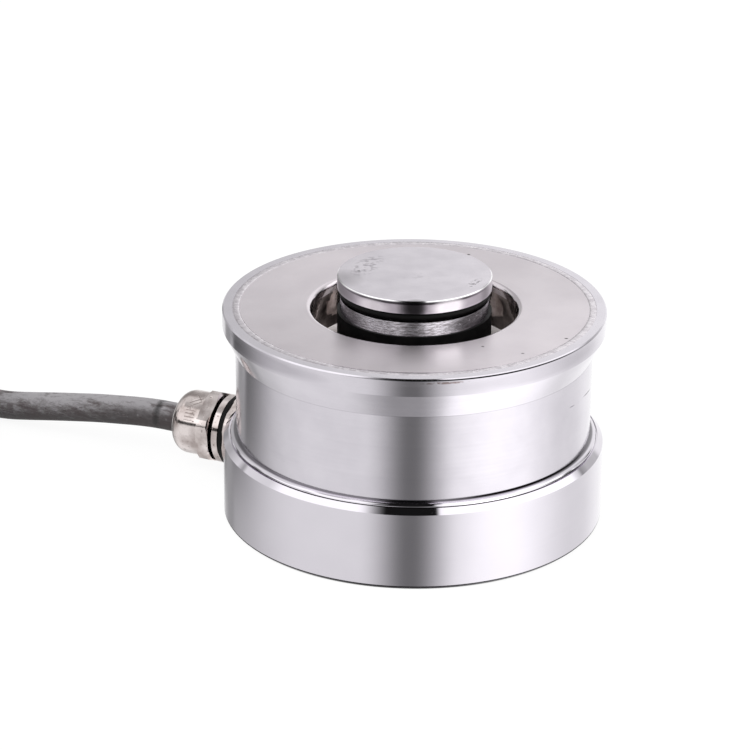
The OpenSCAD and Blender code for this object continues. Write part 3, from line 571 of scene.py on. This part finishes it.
mouldedFinish = {
    # deep black, hardly a highlight
    "nitrile rubber, moulded": {"color": "#060606", "worn": "#0d0c0c", "roughness": 0.5,
        "scale": 400.0, "bump": 0.15, "metallic": 0.0, "shine": 0.15},
    # black with a dull highlight along its edges
    "black nylon, moulded": {"color": "#101010", "worn": "#1c1c1c", "roughness": 0.38,
        "scale": 400.0, "bump": 0.15, "metallic": 0.0, "shine": 0.5},
    # black, softly wrinkled by the heat
    "polyolefin sleeve, heat shrunk": {"color": "#131313", "worn": "#222121", "roughness": 0.42,
        "scale": 250.0, "bump": 0.5, "metallic": 0.0, "shine": 0.4},
    # milky white
    "white nylon, moulded": {"color": "#d9d7d0", "worn": "#e4e2dc", "roughness": 0.4,
        "scale": 400.0, "bump": 0.15, "metallic": 0.0, "shine": 0.5},
    # grey metal with a faint frost
    "tinned copper, drawn": {"color": "#c9c8c6", "worn": "#b4b2ae", "roughness": 0.3,
        "scale": 500.0, "bump": 0.3, "metallic": 1.0, "shine": 0.5},
    # amber film
    "polyimide gauge foil, laminated": {"color": "#a8662a", "worn": "#c08039", "roughness": 0.3,
        "scale": 400.0, "bump": 0.15, "metallic": 0.0, "shine": 0.5},
    # dark green with the weave just showing
    "glass fibre board, pressed": {"color": "#1d4a2c", "worn": "#28603a", "roughness": 0.35,
        "scale": 700.0, "bump": 0.3, "metallic": 0.0, "shine": 0.5},
    # tan gloss
    "resistor lacquer, dipped": {"color": "#b79a6b", "worn": "#c9ae80", "roughness": 0.38,
        "scale": 400.0, "bump": 0.1, "metallic": 0.0, "shine": 0.5},
    # dull yellow
    "yellow lead insulation, extruded": {"color": "#b8962f", "worn": "#c9a640", "roughness": 0.45,
        "scale": 400.0, "bump": 0.15, "metallic": 0.0, "shine": 0.4},
    # bright beads of molten steel between darker rims
    "weld seam steel, laser fused": {"color": "#c3bdc3", "worn": "#e2dde2", "roughness": 0.24,
        "scale": 1100.0, "bump": 0.3, "metallic": 1.0, "shine": 0.5},
    # the four cores of the cable, smooth and slightly waxy
    "red core insulation, extruded": {"color": "#8e1a17", "worn": "#a3241f", "roughness": 0.4,
        "scale": 500.0, "bump": 0.1, "metallic": 0.0, "shine": 0.45},
    "black core insulation, extruded": {"color": "#151515", "worn": "#202020", "roughness": 0.4,
        "scale": 500.0, "bump": 0.1, "metallic": 0.0, "shine": 0.45},
    "green core insulation, extruded": {"color": "#1c6a32", "worn": "#247a3c", "roughness": 0.4,
        "scale": 500.0, "bump": 0.1, "metallic": 0.0, "shine": 0.45},
    "white core insulation, extruded": {"color": "#d6d4ce", "worn": "#e4e2dc", "roughness": 0.4,
        "scale": 500.0, "bump": 0.1, "metallic": 0.0, "shine": 0.45},
}
moulded = {name: makeMoulded(name, finish) for name, finish in mouldedFinish.items()}
(rubber, nylon, shrink, whiteNylon, tinned, foil, boardFilm, resistorCoat, leadCoat, weldSteel,
    redCore, blackCore, greenCore, whiteCore) = moulded.values()
brass = makeBrass()
jacket = makeJacket()

finishes = {
    "base_ring": steel["base"], "outer_sleeve": steel["waist"], "top_cover": steel["cover"],
    "bore_sleeve": steel["bore"], "spring_body": steel["spring"], "bottom_cover": steel["cover"],
    "thrust_disc": steel["spring"], "load_button": steel["button"], "button_oring": rubber,
    "button_rubber": rubber, "gauge_foil_upper": foil, "gauge_foil_lower": foil,
    "terminal_board": boardFilm, "board_spacers": whiteNylon, "trim_resistors": resistorCoat,
    "inner_leads": leadCoat, "gland_adapter": brass, "gland_gasket": rubber, "gland_body": brass,
    "gland_claw": whiteNylon, "gland_bush": rubber, "gland_cap": brass, "cable_inner": jacket,
    "end_sleeve": shrink, "drain_wire": tinned, "ferrules": tinned, "core_red": redCore,
    "core_black": blackCore, "core_green": greenCore, "core_white": whiteCore,
}
for nodeName, material in finishes.items():
    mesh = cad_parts[nodeName].data
    mesh.materials.clear()
    mesh.materials.append(material)
print("finishes given")


# the weld seam: laser pulses, each a small crescent over the one before; lengths in mm
weld = {
    "radius": 34.85,
    "half": 0.7,
    "foot": 42.72,
    "skirt": 42.9,  # below this height the bead stays even
    "pulses": 260,
    "perPulse": 6,
    "outline": [(-0.7, 43.06), (-0.6, 43.1), (-0.34, 43.12), (0, 43.13), (0.34, 43.12), (0.6, 43.1),
        (0.7, 43.04)],
    "ripple": 0.02,
    "crescent": 1.3,
    # how much, and how finely, the pulses differ in height and the bead strays sideways
    "uneven": (0.8, 900),
    "wander": (0.1, 1400),
}


def makeWeld():
    bm = bmesh.new()
    half = weld["half"]
    outline = [(-half, weld["foot"])] + weld["outline"] + [(half, weld["foot"])]
    corners = [bm.verts.new(((weld["radius"] + x) * mm, 0, z * mm)) for x, z in outline]
    for a, b in zip(corners, corners[1:] + corners[:1]):
        bm.edges.new((a, b))
    bmesh.ops.spin(bm, geom=bm.verts[:] + bm.edges[:], axis=(0, 0, 1), cent=(0, 0, 0),
        angle=math.tau, steps=weld["pulses"] * weld["perPulse"], use_merge=True)
    # irregular: every pulse is a little different in size and place
    uneven, unevenScale = weld["uneven"]
    wander, wanderScale = weld["wander"]
    for v in bm.verts:
        if v.co.z < weld["skirt"] * mm:
            continue
        r = v.co.xy.length
        across = (r / mm - weld["radius"]) / half
        turnShare = math.atan2(v.co.y, v.co.x) / math.tau
        phase = turnShare * weld["pulses"] + weld["crescent"] * across * across
        rise = (phase % 1) - 0.5 + uneven * noise.noise(v.co * unevenScale)
        v.co.z += weld["ripple"] * mm * rise * (1.1 - abs(across))
        aside = noise.noise(v.co * wanderScale + Vector((3, 5, 7)))
        v.co.xy *= 1 + wander * mm * aside * (1 - abs(across)) / r
    bmesh.ops.recalc_face_normals(bm, faces=bm.faces)
    for edge in bm.edges:
        edge.smooth = edge.calc_face_angle(0) < sharpAngle
    mesh = bpy.data.meshes.new("weldSeam")
    bm.to_mesh(mesh)
    bm.free()
    return addPiece("weldSeam", mesh, "weld_steel", weldSteel, "top_weld")


makeWeld()
print("weld seam laid")


# the cable: straight out of the gland, down to the floor, then wound into a round coil
cable = {
    "diameter": 6.0,
    # (distance from the body's axis, height)
    "mouth": (52.1, 8.55),
    "lead": [(55, 8.55), (58, 8.5), (62, 8.23), (67, 7.67), (73, 6.9), (79, 5.95), (85, 4.93),
        (90, 4.05), (95, 3.3), (100, 3.06), (107, 3.05), (114, 3.25), (122, 3.6)],
    "coilAt": (130, 47.919),  # middle of the coil, along the gland and sideways
    "step": 15,  # degrees between two knots
    "crossing": 50,  # degrees that a change of ring takes
    "start": (270, 47.919, 3.8),
    # where the cable leaves its ring, and the radius and height it comes to after the crossing
    "moves": [(330, 42, 3.8), (690, 36, 3.8), (1050, 30, 3.8), (1410, 24, 3.8), (1720, 24, 9.8),
        (2030, 30, 9.8), (2390, 36, 9.8), (2750, 42, 9.8), (3060, 42, 15.8), (3370, 36, 15.8),
        (3730, 30, 15.8), (4090, 24, 15.8)],
    # up on to the top layer, once around, and off towards the tail
    "top": [(4400, 24, 15.8), (4425, 25.2, 19.4), (4450, 30, 21.75), (4705, 30, 21.75),
        (4755, 36.05, 21.75), (4888, 36.05, 21.75)],
    # (radius, angle from the last turn, height)
    "tailFrom": 208,
    "tail": [(37, 12, 22), (40, 28, 22.3), (44.5, 46, 22.3), (47.8, 64, 20), (48.9, 82, 16.5),
        (48.9, 100, 13.2), (48.9, 118, 10.4), (48.9, 134, 8), (48.9, 150, 5.8), (48.9, 164, 4.2),
        (48.9, 172, 3.6)],
    "endLength": 10,
    "endHeight": 3.4,
}

turn = Matrix.Rotation(math.radians(glandAzimuth), 4, "Z")
coilFrame = turn @ Matrix.Translation((*cable["coilAt"], 0))


def coilPoint(r, angle, z):
    a = math.radians(angle)
    return coilFrame @ Vector((r * math.cos(a), r * math.sin(a), z))


def windCoil():
    # (angle, radius, height) of every change; between two of them the cable keeps its ring
    change = [cable["start"]]
    for angle, r, z in cable["moves"]:
        change += [(angle, *change[-1][1:]), (angle + cable["crossing"], r, z)]
    change += cable["top"]
    points = []
    for (a0, r0, h0), (a1, r1, h1) in zip(change, change[1:]):
        n = max(2, round((a1 - a0) / cable["step"]))
        for i in range(n):
            t = i / n
            s = t * t * (3 - 2 * t)
            points.append(coilPoint(r0 + s * (r1 - r0), a0 + t * (a1 - a0), h0 + s * (h1 - h0)))
    angle, r, z = change[-1]
    return points + [coilPoint(r, angle, z)]


def makeCable():
    route = [turn @ Vector((s, 0, z)) for s, z in [cable["mouth"]] + cable["lead"]]
    route += windCoil()
    route += [coilPoint(r, cable["tailFrom"] + a, z) for r, a, z in cable["tail"]]
    # the last straight bit, square to the coil's radius
    square = glandAzimuth + cable["tailFrom"] + cable["tail"][-1][1] + 90
    way = Matrix.Rotation(math.radians(square), 4, "Z") @ Vector((1, 0, 0))
    end = route[-1] + cable["endLength"] * way
    end.z = cable["endHeight"]
    route.append(end)
    data = bpy.data.curves.new("cableLine", "CURVE")
    data.dimensions = "3D"
    data.bevel_depth = cable["diameter"] / 2 * mm
    data.bevel_resolution = 7
    data.resolution_u = data.render_resolution_u = 3
    data.use_fill_caps = True
    spline = data.splines.new("BEZIER")
    spline.bezier_points.add(len(route) - 1)
    for knot, place in zip(spline.bezier_points, route):
        knot.co = place * mm
        knot.handle_left_type = knot.handle_right_type = "AUTO"
    # the curve only draws the tube; the piece is its mesh
    line = bpy.data.objects.new("cableLine", data)
    scene.collection.objects.link(line)
    bpy.context.view_layer.update()
    graph = bpy.context.evaluated_depsgraph_get()
    mesh = bpy.data.meshes.new_from_object(line.evaluated_get(graph))
    mesh.name = "cable"
    mesh.materials.clear()
    bpy.data.objects.remove(line)
    piece = addPiece("cable", mesh, "cable_jacket", jacket, "cable_lead", "cable_coil",
        "cable_tail")
    path = [place * mm for place in route]
    return piece, path, sum((q - p).length for p, q in zip(path, path[1:]))


cablePiece, cablePath, cableLength = makeCable()
cablePiece.visible_glossy = False  # in the photograph no coil shows in the steel
print("cable laid, %.2f m" % cableLength)


# three ties hold the coil: a strap around its section, a head on top and a cut tail
tie = {
    # angle around the coil, and how many turns outside the coil it takes in
    "places": [(65, 0), (180, 0), (300, 1)],
    "width": 3.6,
    "thick": 0.8,
    "corner": 1.2,
    # the strap's section: radii and heights, with sloping shoulders up to the top layer
    "inner": 20.9,
    "outer": 45.1,
    "turnOutside": 6.3,
    "foot": 0.8,
    "shoulder": 18.85,
    "topSpan": (26.95, 39.15),
    "top": 24.85,
    "head": (5.6, 5.2, 3.2),
    "headAt": 31.5,
    "tail": (9.0, 3.2, 0.7),
    "tailAt": 33.5,
    "tailLift": 1.6,
    "tailRise": 14,
}


def addBar(bm, size, place, rounding, segments):
    # a bar with rounded edges
    bar = bmesh.ops.create_cube(bm, size=mm, matrix=place @ Matrix.Diagonal((*size, 1)))
    edges = {e for v in bar["verts"] for e in v.link_edges}
    bmesh.ops.bevel(bm, geom=list(edges), offset=rounding * mm, segments=segments, profile=0.5,
        affect="EDGES", material=-1)


def makeTie(angle, reach):
    bm = bmesh.new()
    outer = tie["outer"] + tie["turnOutside"] * reach
    low, high = tie["topSpan"]
    outline = [(tie["inner"], tie["foot"]), (tie["inner"], tie["shoulder"]), (low, tie["top"]),
        (high, tie["top"]), (outer, tie["shoulder"]), (outer, tie["foot"])]
    corners = [bm.verts.new((x * mm, 0, z * mm)) for x, z in outline]
    bm.faces.new(corners)
    bmesh.ops.bevel(bm, geom=corners, offset=tie["corner"] * mm, segments=4, profile=0.5,
        affect="VERTICES", material=-1)
    # the wall of the prism, thickened outwards, is the strap
    sides = bmesh.ops.extrude_face_region(bm, geom=bm.faces[:])["geom"]
    far = [g for g in sides if isinstance(g, bmesh.types.BMVert)]
    bmesh.ops.translate(bm, verts=far, vec=(0, tie["width"] * mm, 0))
    bmesh.ops.translate(bm, verts=bm.verts, vec=(0, -tie["width"] / 2 * mm, 0))
    bm.normal_update()
    caps = [f for f in bm.faces if abs(f.normal.y) > 0.9]
    bmesh.ops.delete(bm, geom=caps, context="FACES_ONLY")
    bmesh.ops.recalc_face_normals(bm, faces=bm.faces)
    bm.normal_update()
    lowest = min(bm.faces, key=lambda f: f.calc_center_median().z)
    if lowest.normal.z > 0:
        bmesh.ops.reverse_faces(bm, faces=bm.faces)
    bmesh.ops.solidify(bm, geom=bm.faces, thickness=-tie["thick"] * mm)
    # the head, and the tail drawn through it
    top = tie["top"] + tie["thick"] / 2
    place = Matrix.Translation((tie["headAt"] * mm, 0, (top + tie["head"][2] / 2) * mm))
    addBar(bm, tie["head"], place, 0.45, 3)
    place = (Matrix.Translation((tie["tailAt"] * mm, 0, (top + tie["tailLift"]) * mm))
        @ Matrix.Rotation(math.radians(-tie["tailRise"]), 4, "Y")
        @ Matrix.Translation((tie["tail"][0] / 2 * mm, 0, 0)))
    addBar(bm, tie["tail"], place, 0.15, 2)
    place = (turn @ Matrix.Translation((*[c * mm for c in cable["coilAt"]], 0))
        @ Matrix.Rotation(math.radians(angle), 4, "Z"))
    bmesh.ops.transform(bm, matrix=place, verts=bm.verts)
    bmesh.ops.recalc_face_normals(bm, faces=bm.faces)
    return bm


def makeTies():
    whole = bmesh.new()
    for angle, reach in tie["places"]:
        bm = makeTie(angle, reach)
        part = bpy.data.meshes.new("part")
        bm.to_mesh(part)
        bm.free()
        whole.from_mesh(part)
        bpy.data.meshes.remove(part)
    for edge in whole.edges:
        edge.smooth = len(edge.link_faces) == 2 and edge.calc_face_angle(0) < sharpAngle
    mesh = bpy.data.meshes.new("coilTies")
    whole.to_mesh(mesh)
    whole.free()
    return addPiece("coilTies", mesh, "tie_plastic", nylon, "coil_ties")


tiesPiece = makeTies()
tiesPiece.visible_glossy = False
print("coil tied")
